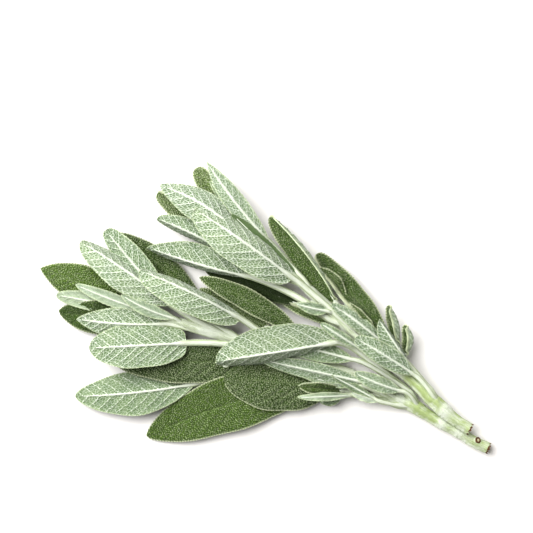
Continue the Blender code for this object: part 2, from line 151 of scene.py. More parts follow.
class Finish:
    # a material in the making
    def __init__(self, name):
        self.material = bpy.data.materials.new(name)
        self.material.use_nodes = True
        self.tree = self.material.node_tree
        self.shader = self.tree.nodes["Principled BSDF"]

    def node(self, kind, settings, values, output=0):
        made = self.tree.nodes.new(kind)
        for name, value in settings.items():
            setattr(made, name, value)
        for name, value in values.items():
            self.feed(made.inputs[name], value)
        return Socket(self, made.outputs[output])

    def feed(self, socket, value):
        if isinstance(value, Socket):
            self.tree.links.new(value.output, socket)
        else:
            socket.default_value = value

    def math(self, operation, first, second):
        return self.node("ShaderNodeMath", {"operation": operation}, {0: first, 1: second})

    def within(self, value):
        return self.node("ShaderNodeClamp", {}, {"Value": value})

    def mix(self, share, first, second):
        settings = {"data_type": "RGBA", "clamp_result": True}
        return self.node("ShaderNodeMix", settings, {0: share, 6: first, 7: second}, 2)

    def near(self, value):
        # how far a value is from the nearest whole number
        over = self.node("ShaderNodeMath", {"operation": "FRACT"}, {0: value + 0.5})
        return self.node("ShaderNodeMath", {"operation": "ABSOLUTE"}, {0: over - 0.5})

    def marks(self, layer):
        # the four values that a mesh keeps in one of its colour layers
        name = self.node("ShaderNodeAttribute", {"attribute_name": layer}, {})
        split = self.node("ShaderNodeSeparateColor", {}, {0: name}).output.node
        last = Socket(self, name.output.node.outputs["Alpha"])
        return [Socket(self, split.outputs[i]) for i in range(3)] + [last]

    def grain(self, scale, detail=2.0, stretch=None):
        # noise on the piece, or stretched along the way that its lie map runs
        place = self.node("ShaderNodeTexCoord", {}, {}, "Object")
        if stretch:
            place = self.node("ShaderNodeUVMap", {"uv_map": "lie"}, {})
            place = self.node("ShaderNodeMapping", {}, {0: place, "Scale": stretch})
        return self.node("ShaderNodeTexNoise", {}, {"Vector": place, "Scale": scale, "Detail": detail})

    def finished(self, colour, roughness, height, bump, sheen):
        # joins colour and relief to the shader; all these skins are matt, with a nap of hairs
        self.feed(self.shader.inputs["Base Color"], colour)
        self.feed(self.shader.inputs["Roughness"], roughness)
        self.feed(self.shader.inputs["Specular IOR Level"], skin["gloss"])
        self.feed(self.shader.inputs["Sheen Weight"], sheen)
        self.feed(self.shader.inputs["Sheen Roughness"], skin["nap"])
        values = {"Strength": bump, "Distance": skin["relief"], "Height": height}
        self.feed(self.shader.inputs["Normal"], self.node("ShaderNodeBump", {}, values))
        return self.material


# ---- leaf finishes
# marks: side veins' strength, midline, margin, tone; veins: count of side veins passed, gap between them,
# place in the net; mood: whiteness of the felt, painted light (below 1 paints shade over the leaf),
# yellowness, pebbles of the upper side
underLook = {
    "cell": (0.11, 0.165, 0.080, 1),      # green between the veins, seen through thin felt
    "felt": (0.66, 0.71, 0.60, 1),        # white felt on veins and net
    "fresh": (0.47, 0.57, 0.26, 1),       # yellow-green of young growth
    "edge": (0.60, 0.67, 0.42, 1),        # pale line round a blade
    # painted shade: the colour that a leaf with less painted light is darkened towards
    "dark": (0.07, 0.11, 0.04, 1),
    "patches": 180.0,                     # patches of young green to a metre
    "veinLine": 1.3,                      # how far a vein's and a net line's felt spreads
    "netLine": 1.25,
    "netFine": 6.0,
    "veinFelt": 0.64,                     # how much felt veins, net, hairs and the leaf's tone add
    "netFelt": 0.72,
    "hairFelt": 0.5,
    "toneFelt": 0.3,
    "bare": 0.62,                         # whiteness at which only veins and net are felted
    "edgeShows": 0.85,
    # how strongly that painted shade darkens a leaf
    "paintedShadeStrength": 1.2,
}
upperLook = {
    "cell": (0.060, 0.115, 0.014, 1),
    # painted shade: the colour of the grooves between pebbles, and of leaves with less painted light
    "groove": (0.010, 0.022, 0.002, 1),
    "felt": (0.48, 0.55, 0.33, 1),
    "fresh": (0.19, 0.31, 0.045, 1),
    "line": (0.20, 0.28, 0.10, 1),
    "rim": (0.56, 0.60, 0.40, 1),
    "patches": 200.0,                     # patches of young green to a metre
    "grooveLine": 1.25,                   # how wide the painted shade in the grooves between pebbles is
    "grooveFine": 4.5,
    "grooveShade": 0.95,
    "pebbleHighlight": 1.1,                     # how wide a pebble's pale top is, partly felt and partly painted highlight
    "pebbleFine": 2.3,
    "hairFelt": 2.2,                      # how much felt hairs, the leaf's tone and its whiteness add
    "toneFelt": 1.1,
    "whiteFelt": 0.9,
    "bare": 0.76,
    "lineShows": 0.3,
    "rimShows": 1.1,
}
stalkLook = {
    "skin": (0.36, 0.44, 0.19, 1),
    "felt": (0.66, 0.70, 0.59, 1),
    "line": (0.17, 0.24, 0.07, 1),
    "streaks": (0.14, 2.4, 1),            # how streaks and fine lines run along a stalk and round it
    "fine": (0.3, 6.0, 1),
    "cover": 0.85,                        # felt of a plain stretch, and what joints, streaks, hairs add
    "jointFelt": 0.6,
    "streakFelt": 1.8,
    "fineFelt": 0.9,
    "hairFelt": 0.6,
    "freshBares": 1.1,                    # how much of it young growth lacks
    "lineAt": 0.56,
    "lineDark": 5.0,
}


def netNode(made, feature, netAcross, netAlong):
    place = made.node("ShaderNodeCombineXYZ", {}, {0: netAcross, 1: netAlong})
    cells = {"voronoi_dimensions": "2D", "feature": feature}
    return made.node("ShaderNodeTexVoronoi", cells, {"Vector": place, "Scale": 1.0})


def underFinish():
    look = underLook
    made = Finish("sageUnderside")
    strength, midline, margin, tone = made.marks("marks")
    turn, gap, netAcross, netAlong = made.marks("veins")
    white, paintedLight, yellow, netted = made.marks("mood")
    hairs = made.grain(skin["hairs"])
    patches = made.grain(look["patches"])
    vein = made.within(look["veinLine"] - made.near(turn) * gap) * strength
    toLine = netNode(made, "DISTANCE_TO_EDGE", netAcross, netAlong)
    net = made.within(look["netLine"] - toLine * look["netFine"]) * netted
    cover = vein * look["veinFelt"] + net * look["netFelt"] + midline + (hairs - 0.5) * look["hairFelt"]
    cover += (white - look["bare"]) + (tone - 0.5) * look["toneFelt"]
    colour = made.mix(made.within(cover), look["cell"], look["felt"])
    colour = made.mix(made.within(yellow * 0.5 + (patches - 0.5) * 0.3), colour, look["fresh"])
    colour = made.mix(made.within(margin * look["edgeShows"]), colour, look["edge"])
    # painted shade: the less painted light a leaf has, the darker it is
    colour = made.mix(made.within((1 - paintedLight) * look["paintedShadeStrength"]), colour, look["dark"])
    return made.finished(colour, 0.82, hairs * 0.6 + net * 0.8 + vein * 0.5, 0.45, 0.2)


def upperFinish():
    look = upperLook
    made = Finish("sageUpperSide")
    _, midline, margin, tone = made.marks("marks")
    _, _, netAcross, netAlong = made.marks("veins")
    white, paintedLight, yellow, _ = made.marks("mood")
    hairs = made.grain(skin["hairs"])
    patches = made.grain(look["patches"])
    toLine = netNode(made, "DISTANCE_TO_EDGE", netAcross, netAlong)
    # painted shade in the grooves between pebbles, and a pale top on each pebble that is partly felt and
    # partly painted highlight
    groove = made.within(look["grooveLine"] - toLine * look["grooveFine"])
    pebble = made.within(look["pebbleHighlight"] - netNode(made, "F1", netAcross, netAlong) * look["pebbleFine"])
    colour = made.mix(made.within(yellow * 0.7 + (patches - 0.5) * 0.35), look["cell"], look["fresh"])
    streaks = pebble + (hairs - 0.5) * look["hairFelt"] + (tone - 0.5) * look["toneFelt"]
    streaks += (white - look["bare"]) * look["whiteFelt"]
    colour = made.mix(made.within(streaks), colour, look["felt"])
    colour = made.mix(made.within(groove * look["grooveShade"]), colour, look["groove"])
    colour = made.mix(made.within(midline * look["lineShows"]), colour, look["line"])
    colour = made.mix(made.within(margin * look["rimShows"]), colour, look["rim"])
    # painted shade: the less painted light a leaf has, the nearer it comes to the dark groove colour
    colour = made.mix(made.within(1 - paintedLight), colour, look["groove"])
    return made.finished(colour, 0.62, hairs * 0.5 + pebble - groove, 0.5, 0.1)


def stalkFinish(name, streaky):
    look = stalkLook
    made = Finish(name)
    joint, line, fresh, _ = made.marks("marks")
    streaks = made.grain(1.0, stretch=look["streaks"])
    fine = made.grain(1.0, stretch=look["fine"])
    hairs = made.grain(skin["hairs"])
    cover = look["cover"] + joint * look["jointFelt"] + (streaks - 0.5) * look["streakFelt"]
    cover += (fine - 0.5) * look["fineFelt"] + (hairs - 0.5) * look["hairFelt"] - fresh * look["freshBares"]
    colour = made.mix(made.within(cover), look["skin"], look["felt"])
    lines = (fine - look["lineAt"]) * look["lineDark"] * streaky + line
    colour = made.mix(made.within(lines), colour, look["line"])
    return made.finished(colour, 0.8, hairs * 0.7 + streaks + fine, 0.6, 0.05)


def marginFinish():
    made = Finish("sageMargin")
    hairs = made.grain(1800.0)
    colour = made.mix(made.within(hairs), underLook["fresh"], underLook["felt"])
    return made.finished(colour, 0.8, hairs, 0.2, 0.2)


underSide = underFinish()
upperSide = upperFinish()
stalkSkin = stalkFinish("sageStalk", 0.5)
stemSkin = stalkFinish("sageStem", 1.0)
marginSkin = marginFinish()
print("leaf finishes made")


# ---- the lines that stems and leaves follow, as in the CAD model
Stem = namedtuple("Stem", "points radii")
stems = {
    "sprig_lower": Stem(
        [(109.0, 1.0, 2.8), (102.0, 0.0, 2.75), (95.0, 0.0, 2.7), (88.0, -0.5, 2.7), (81.0, -1.0, 2.5),
         (74.5, -1.0, 2.3), (67.5, -2.0, 2.5), (58.0, -3.0, 3.0), (42.0, -4.5, 3.3), (26.5, -10.0, 4.5),
         (13.5, -13.5, 6.0), (-3.5, -17.5, 8.0), (-18.0, -21.5, 9.5), (-30.5, -24.5, 10.5),
         (-39.5, -25.5, 11.0)],
        [2.25, 2.25, 2.25, 2.4, 2.35, 2.75, 2.3, 2.2, 2.2, 2.5, 2.0, 2.0, 2.0, 1.4, 0.8],
    ),
    "sprig_upper": Stem(
        [(98.0, 3.5, 6.6), (90.5, 3.5, 6.2), (83.0, 4.5, 5.9), (76.5, 5.8, 5.6), (66.5, 7.6, 5.3),
         (55.0, 8.7, 5.4), (46.5, 9.5, 5.9), (35.0, 11.0, 6.8), (22.5, 14.0, 8.0), (10.5, 16.0, 9.5),
         (-0.5, 17.0, 10.5), (-12.0, 17.5, 11.5)],
        [2.35, 2.4, 2.8, 2.8, 2.2, 2.1, 2.2, 2.5, 2.2, 1.8, 1.3, 0.8],
    ),
}

# root: how far along the stem the stalk starts. base, tip: ends of the midrib. bow, arch: its swing to the
# left and its rise. width: both halves laid flat. falls: degrees by which the left and right halves fall.
# ends: bluntness of base and tip, and where the blade is widest. up: the side that faces up.
# mood: whiteness of its felt, painted light (below 1 paints shade over the leaf), yellowness. aside: how
# far its stalk leans towards +Y and upwards
# as it leaves the stem. crease: share of the half width at which a half that folds right over is creased.
Leaf = namedtuple("Leaf", "root base tip bow arch width falls ends up mood aside crease",
                  defaults=((0.0, 0.0), 0.25))
leaves = {
    "sprig_lower": {
        "A1": Leaf(137, (-49.5, -29.5, 5.5), (-87.0, -36.5, 1.5), -0.5, 0.7, 15.5, (10, 0), (0.7, 0.8, 1.0),
                   "green", (0.5, 1.0, 0.75)),
        "A2": Leaf(116, (-33.0, -19.5, 11), (-78.0, -18.0, 9), -1.0, 4.0, 17.0, (0, 70), (0.7, 0.5, 1.0),
                   "pale", (0.62, 1.0, 0.1), aside=(1.0, 0.8)),
        "A3": Leaf(110, (-36.5, -19.5, 10), (-72.0, -8.5, 8), 0.0, 3.0, 12.0, (40, 0), (0.7, 0.36, 1.0),
                   "pale", (0.42, 0.95, 0.05), aside=(2.2, 0.5)),
        "A4": Leaf(128, (-24.0, -11.5, 6.0), (-67.0, -6.0, 2.0), 0.0, 1.0, 13.0, (0, 30), (0.6, 0.75, 1.0),
                   "green", (0.6, 1.0, 0.15)),
        "A5": Leaf(72, (-6.5, -9.0, 12), (-51.0, -14.5, 15), -1.0, 5.5, 17.0, (0, 78), (0.35, 0.45, 1.0),
                   "pale", (0.52, 1.0, 0.15), aside=(0.0, 1.0)),
        "A6": Leaf(146, (-39.0, -27.0, 10), (-70.5, -34.0, 6), 0.5, 1.0, 5.5, (0, 0), (0.8, 0.5, 1.0),
                   "pale", (0.86, 0.97, 0.0)),
        "A7": Leaf(146, (-46.5, -30.0, 6.5), (-75.0, -42.0, 3.5), 0.0, 0.2, 7.5, (15, 0), (0.7, 0.4, 1.0),
                   "pale", (0.88, 1.0, 0.15)),
        "A8": Leaf(137, (-37.5, -29.0, 7), (-71.0, -47.5, 0.05), 1.0, 1.3, 15.0, (0, -25), (0.7, 0.6, 1.0),
                   "green", (0.25, 0.8, 0.2)),
        "A9": Leaf(118, (-31.0, -27.5, 10), (-62.5, -45.5, 7), 1.0, 2.5, 13.0, (30, 0), (0.8, 0.8, 1.0),
                   "pale", (0.5, 1.0, 0.1), aside=(-1.5, 0.3)),
        "A10": Leaf(102, (-19.5, -29.5, 10), (-51.5, -52.5, 10), 0.0, 3.0, 18.0, (0, 15), (0.25, 0.48, 1.0),
                    "pale", (0.44, 1.0, 0.1), aside=(-1.2, 0.3)),
        "A11": Leaf(135, (-29.0, -23.5, 12), (-52.0, -27.0, 13), 1.0, 1.5, 5.5, (0, 20), (0.7, 0.5, 1.0),
                    "pale", (0.82, 0.97, 0.0)),
        "B1": Leaf(98, (-7.0, -41.5, 3.5), (-46.0, -73.0, 2), 1.0, 3.2, 18.5, (0, 25), (0.9, 0.62, 1.0),
                   "pale", (0.34, 0.97, 0.1)),
        "B2": Leaf(91, (1.0, -25.0, 5), (-39.5, -52.5, 7), 0.0, 2.0, 18.0, (5, -10), (0.3, 0.6, 0.6),
                   "green", (0.8, 0.85, 0.0)),
        "B4": Leaf(68, (30.5, -17.5, 2.6), (-12.5, -71.0, 1.5), -2.0, 2.5, 23.0, (0, -8), (0.35, 0.6, 0.85),
                   "green", (0.42, 1.0, 0.6)),
        "B5": Leaf(52, (40.0, -13.0, 3), (1.0, -33.0, 6), 0.0, 2.5, 24.0, (5, 24), (0.4, 0.5, 1.0),
                   "green", (0.78, 0.9, 0.08)),
        "C1": Leaf(34, (31.0, 3.0, 10), (-5.0, -29.0, 14), 0.0, 4.0, 22.0, (70, 0), (0.35, 0.5, 1.0),
                   "pale", (0.54, 1.0, 0.16), aside=(4.6, 0.6)),
        "C3": Leaf(31.5, (41.5, 1.5, 7), (8.5, -9.0, 9), 0.0, 1.0, 9.0, (0, 25), (0.6, 0.5, 1.0),
                   "pale", (0.42, 0.9, 0.08), aside=(4.4, 2.0)),
        "C2": Leaf(40, (51.0, -3.5, 7), (10.5, -18.5, 9), 0.0, 1.0, 7.5, (25, 0), (0.8, 0.5, 1.0),
                   "pale", (0.62, 0.9, 0.0), aside=(0.5, 2.4)),
        "H6": Leaf(42, (50.5, -5.5, 6), (23.5, -15.0, 8), 1.5, 0.0, 4.0, (0, 0), (0.8, 0.6, 1.0),
                   "pale", (0.6, 1.0, 0.1), aside=(-1.6, 0.8)),
        "H1": Leaf(36, (46.0, -11.0, 4), (29.0, -19.5, 9), 0.0, 2.5, 5.5, (0, -30), (0.8, 0.5, 1.0),
                   "green", (0.45, 0.95, 0.2), aside=(-2.8, 0.2)),
        "H2": Leaf(33, (49.5, -11.0, 5), (31.0, -23.5, 10), 0.0, 2.5, 3.5, (0, 0), (0.8, 0.6, 1.0),
                   "pale", (0.82, 1.0, 0.08), aside=(-3.6, 0.8)),
        "H3": Leaf(35, (60.5, -7.0, 5), (48.5, -10.0, 6), 0.0, 0.5, 4.0, (0, 0), (0.8, 0.4, 1.0),
                   "pale", (1.0, 1.0, 0.0), aside=(-1.2, 2.2)),
        "H4": Leaf(33.5, (58.0, -7.0, 6), (37.5, -8.5, 9), 0.0, -0.5, 3.5, (0, 0), (0.8, 0.6, 1.0),
                   "pale", (0.5, 0.7, 0.0), aside=(-2.2, 1.6)),
        "H5": Leaf(38, (46.5, -13.5, 3), (38.0, -19.5, 3), 1.0, 0.5, 5.5, (0, 20), (0.8, 0.5, 1.0),
                   "pale", (0.5, 0.95, 0.1)),
        "H7": Leaf(31.5, (65.5, 1.5, 7), (45.5, -2.5, 8), 0.5, 1.5, 6.5, (0, 0), (0.8, 0.45, 1.0),
                   "pale", (0.67, 0.93, 0.0), aside=(2.4, 2.6)),
        "F1": Leaf(74, (16.5, -1.0, 7), (-29.5, -4.0, 6), -1.5, 1.5, 9.0, (0, 0), (0.5, 0.6, 1.0),
                   "green", (0.6, 0.93, 0.15)),
        "F2": Leaf(91, (6.5, -6.0, 5), (-27.0, -8.0, 3), 0.0, 1.0, 8.0, (0, -10), (0.7, 0.6, 1.0),
                   "green", (0.9, 1.0, 0.3)),
    },
    "sprig_upper": {
        "D1": Leaf(14.5, (66.5, 10.0, 9), (37.5, 9.5, 13), -0.5, 2.0, 9.0, (0, 0), (0.9, 0.35, 1.0),
                   "pale", (0.5, 0.98, 0.0), aside=(1.4, 2.6)),
        "D2": Leaf(14.5, (61.5, 12.5, 9), (42.0, 21.0, 12), 0.0, 2.5, 10.5, (0, 80), (0.8, 0.6, 1.0),
                   "pale", (0.42, 0.9, 0.0), aside=(2.8, 1.8)),
        "D3": Leaf(19, (54.0, 16.0, 7), (42.0, 28.0, 10), -2.0, -0.5, 8.0, (0, -165), (0.7, 0.5, 1.0),
                   "green", (0.65, 0.97, 0.1), aside=(3.2, 0.6), crease=0.02),
        "D4": Leaf(18, (58.5, 14.5, 7), (52.0, 25.0, 9), -3.0, 0.0, 8.0, (0, -165), (0.7, 0.5, 1.0),
                   "green", (0.65, 1.0, 0.1), aside=(3.4, 0.8), crease=0.02),
        "D5": Leaf(22, (47.5, 17.5, 7), (6.0, 30.0, 1.5), -0.3, 2.0, 10.0, (-35, 0), (0.5, 0.32, 1.0),
                   "green", (0.5, 0.97, 0.15), aside=(2.6, 0.0)),
        "D6": Leaf(50, (26.0, 20.5, 7), (9.5, 25.5, 10), -1.8, 0.5, 5.0, (-40, 0), (0.7, 0.5, 1.0),
                   "green", (0.6, 0.95, 0.2)),
        "D7": Leaf(36, (23.0, 17.5, 8), (-18.5, 32.5, 8), -1.5, 2.0, 12.0, (10, -130), (0.5, 0.45, 1.0),
                   "green", (0.5, 0.97, 0.25), aside=(3.4, 0.6), crease=0.22),
        "E1": Leaf(84, (-14.0, 24.0, 10), (-52.5, 37.5, 7), 1.0, 3.5, 8.4, (10, 15), (0.7, 0.9, 1.0),
                   "pale", (0.63, 1.0, 0.0), aside=(1.6, 0.6)),
        "E2": Leaf(98, (-28.5, 22.0, 6), (-55.0, 33.0, 2), 0.0, 1.0, 9.5, (-25, 0), (0.7, 0.3, 1.0),
                   "green", (0.9, 1.0, 1.0)),
        "E3": Leaf(98, (-27.5, 24.0, 7), (-47.0, 31.5, 5), 0.0, 1.0, 3.5, (0, 40), (0.7, 0.5, 1.0),
                   "pale", (0.5, 1.0, 0.1)),
        "E4": Leaf(88, (-20.5, 18.5, 12), (-63.0, 19.0, 9.5), -3.0, 3.8, 15.5, (0, 45), (0.7, 0.75, 1.0),
                   "pale", (0.6, 1.0, 0.03), aside=(0.6, 1.2)),
        "E5": Leaf(58, (2.5, 16.5, 13), (-45.5, 18.5, 15), -0.5, 5.0, 19.5, (0, 55), (0.35, 0.42, 1.0),
                   "pale", (0.58, 1.0, 0.12), aside=(1.6, 1.6)),
        "E6": Leaf(79, (6.0, 17.5, 10), (-32.0, 25.0, 12), 0.0, 1.0, 5.0, (35, 0), (0.7, 0.5, 1.0),
                   "pale", (0.3, 0.28, 0.05)),
        "E7": Leaf(103, (-32.5, 12.5, 5), (-63.0, 16.0, 0.05), 0.0, 0.7, 9.0, (0, -45), (0.7, 0.3, 1.0),
                   "green", (0.95, 1.0, 0.5)),
        "E8": Leaf(90, (-26.5, 11.0, 10), (-57.0, 7.0, 7.5), -0.5, 2.2, 10.5, (70, 0), (0.7, 0.5, 1.0),
                   "pale", (0.42, 0.97, 0.05), aside=(-1.6, 0.6)),
        "E9": Leaf(66, (-12.0, 7.5, 9), (-54.0, -5.0, 8.5), 1.0, 0.8, 16.5, (80, 0), (0.7, 0.85, 1.0),
                   "pale", (0.5, 0.98, 0.05), aside=(-3.0, 0.6)),
        "E10": Leaf(79, (11.5, 9.0, 5), (-29.0, -0.5, 2), 0.0, 0.5, 7.5, (0, -25), (0.7, 0.6, 1.0),
                    "green", (0.3, 0.25, 0.0)),
        "F3": Leaf(64, (28.0, 9.5, 6), (4.0, 5.5, 4), 0.0, 0.0, 4.0, (0, -35), (0.7, 0.5, 1.0),
                   "green", (0.65, 1.0, 0.2)),
        "G1": Leaf(40, (42.0, 7.0, 9), (22.5, 7.0, 11), 0.0, 2.0, 4.0, (0, 0), (0.8, 0.35, 1.0),
                   "pale", (0.6, 0.85, 0.0), aside=(-0.2, 2.4)),
        "G3": Leaf(34, (49.5, 14.0, 9), (22.0, 16.0, 11), -0.5, 1.0, 6.5, (0, 30), (0.8, 0.45, 1.0),
                   "pale", (0.6, 0.9, 0.0), aside=(1.6, 1.6)),
        "G5": Leaf(40, (44.5, 16.0, 8), (28.0, 20.5, 11), -0.5, 0.5, 2.5, (0, 0), (0.7, 0.5, 1.0),
                   "green", (0.5, 0.95, 0.2)),
        "G2": Leaf(72, (21.9, 12.7, 11), (9.0, 8.2, 12.5), 0.3, 0.8, 5.0, (0, 0), (0.8, 0.9, 0.7),
                   "pale", (0.7, 0.97, 0.0), aside=(-0.8, 2.2)),
    },
}


foldsOver = math.radians(100)             # a half that turns further than this is creased and lies folded
creaseWidth = 0.35
unfolds = 2.6                             # a half blade narrower than this is less and less folded
fallStart = 0.7                           # a half falls by this share of its angle at the midrib
fallGrowth = 0.6                          # and by this share more from there to its margin
flat = 0.01                               # radians: a half that falls less than this is taken as flat


def splineAt(values, t):
    place = min(max(t, 0.0), 1.0) * (len(values) - 1)
    i = min(int(place), len(values) - 2)
    f = place - i
    p1, p2 = values[i], values[i + 1]
    p0 = values[i - 1] if i > 0 else p1 * 2 - p2
    p3 = values[i + 2] if i + 2 < len(values) else p2 * 2 - p1
    return 0.5 * (p1 * 2 + (p2 - p0) * f + (p0 * 2 - p1 * 5 + p2 * 4 - p3) * f**2
                  + (p1 * 3 - p0 - p2 * 3 + p3) * f**3)


def stemShare(stem, distance):
    points = [Vector(p) for p in stem.points]
    run = 0.0
    for i in range(len(points) - 1):
        step = (points[i + 1] - points[i]).length
        if run + step >= distance:
            return (i + (distance - run) / step) / (len(points) - 1)
        run += step
    return 1.0


def stemPoint(stem, t):
    return splineAt([Vector(p) for p in stem.points], t)


def stemHeading(stem, t):
    step = 0.01
    return (stemPoint(stem, min(t + step, 1.0)) - stemPoint(stem, max(t - step, 0.0))).normalized()


def halfSection(share, fall, crease):
    # how far out and down a half blade reaches at this share of its width
    angle = math.radians(fall)
    if abs(angle) > foldsOver:
        bend = min(max(share - crease, 0.0) / creaseWidth, 1.0) * angle
        tight = creaseWidth / angle
        beyond = max(share - crease - creaseWidth, 0.0)
        out = min(share, crease) + tight * math.sin(bend) + beyond * math.cos(angle)
        return out, tight * (1 - math.cos(bend)) + beyond * math.sin(angle)
    start, growth = angle * fallStart, angle * fallGrowth
    if abs(growth) < flat:
        return share, 0.0
    end = start + growth * share
    return (math.sin(end) - math.sin(start)) / growth, (math.cos(start) - math.cos(end)) / growth


def leftOf(leaf):
    along = (Vector(leaf.tip) - Vector(leaf.base)).to_2d().normalized()
    return Vector((-along.y, along.x, 0.0))


def midrib(leaf, u):
    swell = 4 * u * (1 - u)
    return Vector(leaf.base).lerp(Vector(leaf.tip), u) + leftOf(leaf) * leaf.bow * swell \
        + Vector((0, 0, leaf.arch * swell))


def halfWidth(leaf, u):
    bluntBase, bluntTip, skew = leaf.ends
    blunt = bluntBase + (bluntTip - bluntBase) * u
    return leaf.width / 2 * max(math.sin(math.pi * u**skew), 0.0) ** blunt


def smooth(low, high, value):
    share = min(max((value - low) / (high - low), 0.0), 1.0)
    return share * share * (3 - 2 * share)


# ---- leaf blades
bladeLook = {
    "grain": 0.32,   # size of one cell of a blade's mesh
    "evenRows": 0.35,                     # share of even spacing in its rows, which else crowd to the ends
    "thickness": 0.34,
    "ripple": 0.35,                       # slow waves of the margins, as in the CAD model
    "rippleTurns": 17.0,
    "rippleApart": 2.0,
    "lobe": 0.02,
    "tooth": 1.1,                         # length of one tooth of the margin
    "toothDepth": 0.42,
    "toothApart": 1.3,                    # by which the two margins' teeth differ
    "curl": 0.35,                         # how far the margin rolls towards the underside
    "curlWidth": 1.6,
    "sway": 0.25,                         # uneven swell of the whole blade
    "swayWaves": (0.09, 0.13),
    "veinGap": 5.3,                       # between side veins on a large leaf
    "leastGap": 2.4,
    "veinPairs": 9.0,                     # side veins along a small leaf
    "veinLean": 0.95,                     # how far forward a side vein runs for each step outwards
    "veinSweep": 0.9,                     # and how much more so near the margin
    "veinStray": 0.16,                    # how unevenly side veins follow each other
    "veinWidth": 0.22,
    "veinHeight": 0.2,
    "veinLine": (0.10, 0.0025),           # width of its pale line: this and a share of the leaf's width
    "groove": 0.35,                       # along the midrib, on the upper side
    "grooveWidth": 0.5,
    "midline": 0.37,                      # half width of the pale line along the midrib
    "netStretch": (0.82, 1.15, 0.3),      # of a net cell along the leaf, across it, and its slant
    "netLine": 0.3,                       # width of the net's ridges, as a share of a cell
    "dome": {"pale": 0.05, "green": 0.14},
    "domeWidth": 0.75,
    "quilt": {"pale": 0.1, "green": 0.14},
    "netHeight": {"pale": 0.1, "green": 0.12},
    "netCell": {"pale": 1.05, "green": 0.64},
    "rim": {"pale": 0.55, "green": 0.7},  # width of the pale line round a blade
    "toothPale": {"pale": 0.75, "green": 1.25},   # how much paler that line is on each tooth
    "standsUnder": -30,                   # degrees: a half that stands up like this shows its whole rim
    "standsRim": (2.2, 1.3),              # how much wider and paler its rim is
    "plain": (0.56, 0.8),                 # whiteness of the felt over which it hides veins and net
    "lowest": 0.03,                       # above the surface it lies on
}


def bell(value, width):
    return math.exp(-(value / width) ** 2)


def veinsAt(leaf, length, x, y):
    # side veins passed at x along and y across a blade laid flat, the gap between them, and their strength
    look = bladeLook
    gap = max(look["leastGap"], min(look["veinGap"], length / look["veinPairs"]))
    away = abs(y)
    reach = away / (leaf.width / 2)
    slope = look["veinLean"] + look["veinSweep"] * reach
    start = x - away * (look["veinLean"] + 0.5 * look["veinSweep"] * reach)
    turn = start / gap + (0.5 if y > 0 else 0.1)
    stray = noise.noise(Vector((start / gap * 0.8, leaf.root, 5.0 if y > 0 else 9.0)))
    turn += look["veinStray"] * stray
    strength = (1 - 0.5 * smooth(0.5, 1.0, reach)) * smooth(length, length * 0.94, x)
    strength *= 0.35 + 0.65 * smooth(3.0, 13.0, leaf.width)
    return start, turn, gap / math.sqrt(1 + slope * slope), strength, reach


def netAt(leaf, start, y, seed):
    # place in the net, how near a line of it, how near the middle of a cell, and the cell's own tone
    look = bladeLook
    along, across, slant = look["netStretch"]
    cell = look["netCell"][leaf.up] * (0.8 + 0.2 * min(1.0, leaf.width / 14))
    netAcross = start * along / cell
    netAlong = (abs(y) * across + slant * start) / cell
    near, centres = noise.voronoi(Vector((netAcross, netAlong, seed + (7.3 if y > 0 else 0.0))))
    net = 1 - smooth(0.02, look["netLine"], near[1] - near[0])
    dome = 1 - smooth(0.0, look["domeWidth"], near[0])
    tone = 0.5 + 0.5 * noise.noise(centres[0] * 7.1)
    return netAcross + 31.0 * seed + (50.0 if y > 0 else 0.0), netAlong, net, dome, tone


def rimAt(leaf, v, margin, tooth):
    # how pale the margin is, paler on its teeth and where the half stands up
    look = bladeLook
    wider, paler = look["standsRim"]
    stands = leaf.falls[0 if v > 0 else 1] < look["standsUnder"]
    rim = smooth(look["rim"][leaf.up] * (wider if stands else 1.0), 0.0, margin)
    return rim * (paler if stands else 0.25 + look["toothPale"][leaf.up] * tooth**4)


def bladePoint(leaf, u, v, half, side):
    look = bladeLook
    wave = math.sin(leaf.root + look["rippleTurns"] * u + (look["rippleApart"] if v > 0 else 0))
    way = 1 if v > 0 else -1
    crease = 1 - (1 - leaf.crease) * smooth(0.0, unfolds, half)
    out, down = halfSection(abs(v), leaf.falls[0] if v > 0 else leaf.falls[1], crease)
    out *= half * (1 + look["lobe"] * wave)
    lift = look["ripple"] * wave * v * v * half / (leaf.width / 2) - down * half
    return midrib(leaf, u) + side * out * way + Vector((0, 0, lift))


